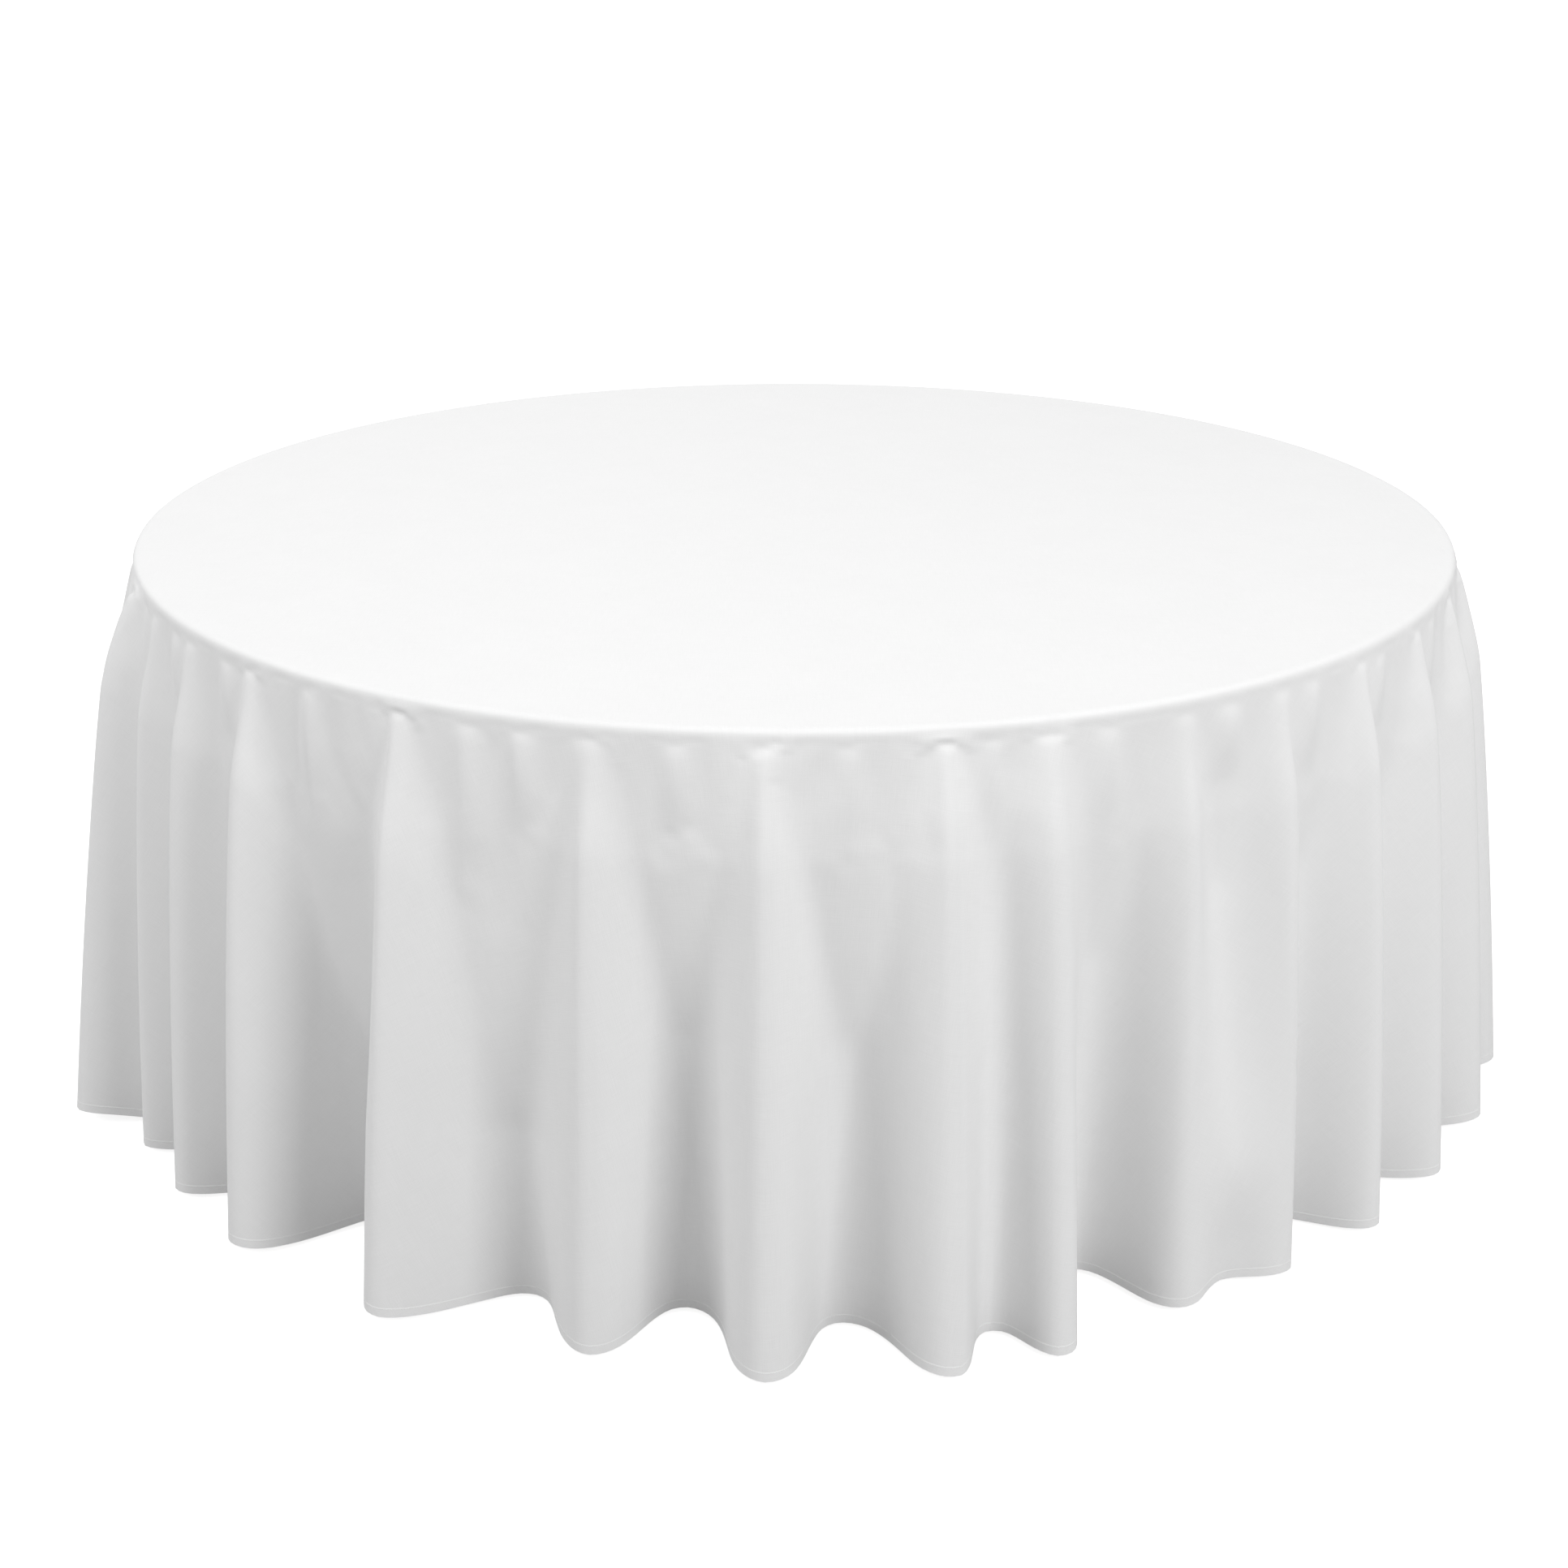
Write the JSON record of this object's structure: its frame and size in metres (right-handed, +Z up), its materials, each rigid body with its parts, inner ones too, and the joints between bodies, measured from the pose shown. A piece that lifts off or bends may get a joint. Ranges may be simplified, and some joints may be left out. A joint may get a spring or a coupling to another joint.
{
  "type": "tablecloth on a table",
  "caption": "Round white floor-length tablecloth hanging in deep folds over a round folding banquet table with two hinged, braced leg frames.",
  "frame": {"origin": "on the floor under the centre of the table top", "axes": "+Z up, -Y the front, +X and -X the sides that the leg frames stand on"},
  "size_m": [2.0598, 2.0598, 0.7633],
  "materials": {
    "white_polyester": "matte plain weave",
    "sewing_thread": "matte",
    "laminate": "fine texture",
    "plywood": "clear sealed",
    "hardwood": "clear sealed",
    "edge_moulding": "satin",
    "painted_steel": "hammered grey powder coat",
    "zinc_steel": "zinc plated",
    "foot_plastic": "matte"
  },
  "bodies": {
    "table_top": {"table_top_board": "plywood", "top_laminate": "laminate", "edge_moulding": "edge_moulding", "front_rail": "hardwood", "back_rail": "hardwood", "wood_screws": "zinc_steel", "right_front_pivot_bracket": "zinc_steel", "right_back_pivot_bracket": "zinc_steel", "right_brace_anchor": "zinc_steel", "right_anchor_rivet": "zinc_steel", "left_front_pivot_bracket": "zinc_steel", "left_back_pivot_bracket": "zinc_steel", "left_brace_anchor": "zinc_steel", "left_anchor_rivet": "zinc_steel"},
    "right_leg_frame": {"right_pivot_tube": "painted_steel", "right_front_post": "painted_steel", "right_back_post": "painted_steel", "right_crossbar": "painted_steel", "right_brace_lug": "painted_steel", "right_lug_rivet": "zinc_steel", "right_front_foot": "foot_plastic", "right_back_foot": "foot_plastic"},
    "right_upper_brace": {"right_upper_brace_link": "zinc_steel", "right_upper_knee_rivet": "zinc_steel"},
    "right_lower_brace": {"right_lower_brace_link": "zinc_steel", "right_lower_knee_rivet": "zinc_steel"},
    "left_leg_frame": {"left_pivot_tube": "painted_steel", "left_front_post": "painted_steel", "left_back_post": "painted_steel", "left_crossbar": "painted_steel", "left_brace_lug": "painted_steel", "left_lug_rivet": "zinc_steel", "left_front_foot": "foot_plastic", "left_back_foot": "foot_plastic"},
    "left_upper_brace": {"left_upper_brace_link": "zinc_steel", "left_upper_knee_rivet": "zinc_steel"},
    "left_lower_brace": {"left_lower_brace_link": "zinc_steel", "left_lower_knee_rivet": "zinc_steel"},
    "tablecloth": {"tablecloth_fabric": "white_polyester", "hem_band": "white_polyester", "hem_stitching": "sewing_thread"}
  },
  "joints": [
    {"name": "right_leg_fold", "type": "hinge", "parent": "table_top", "child": "right_leg_frame", "pos_m": [0.74, 0, 0.722], "axis": [0, 1, 0], "range_deg": [0, 94]},
    {"name": "right_upper_brace_fold", "type": "hinge", "parent": "table_top", "child": "right_upper_brace", "pos_m": [0.46, 0, 0.722], "axis": [0, -1, 0], "range_deg": [0, 38.56]},
    {"name": "right_lower_brace_fold", "type": "hinge", "parent": "right_leg_frame", "child": "right_lower_brace", "pos_m": [0.76232, 0, 0.40278], "axis": [0, 1, 0], "range_deg": [0, 46.47]},
    {"name": "left_leg_fold", "type": "hinge", "parent": "table_top", "child": "left_leg_frame", "pos_m": [-0.74, 0, 0.722], "axis": [0, -1, 0], "range_deg": [0, 94]},
    {"name": "left_upper_brace_fold", "type": "hinge", "parent": "table_top", "child": "left_upper_brace", "pos_m": [-0.46, 0, 0.722], "axis": [0, 1, 0], "range_deg": [0, 38.56]},
    {"name": "left_lower_brace_fold", "type": "hinge", "parent": "left_leg_frame", "child": "left_lower_brace", "pos_m": [-0.76232, 0, 0.40278], "axis": [0, -1, 0], "range_deg": [0, 46.47]},
    {"name": "cloth_lift", "type": "slide", "parent": "table_top", "child": "tablecloth", "axis": [0, 0, 1], "range_m": [0, 0.8]}
  ],
  "couplings": [
    {"joint": "right_upper_brace_fold", "follows": "right_leg_fold", "ratio": 0.40811},
    {"joint": "right_lower_brace_fold", "follows": "right_leg_fold", "ratio": 0.49228},
    {"joint": "left_upper_brace_fold", "follows": "left_leg_fold", "ratio": 0.40811},
    {"joint": "left_lower_brace_fold", "follows": "left_leg_fold", "ratio": 0.49228}
  ]
}
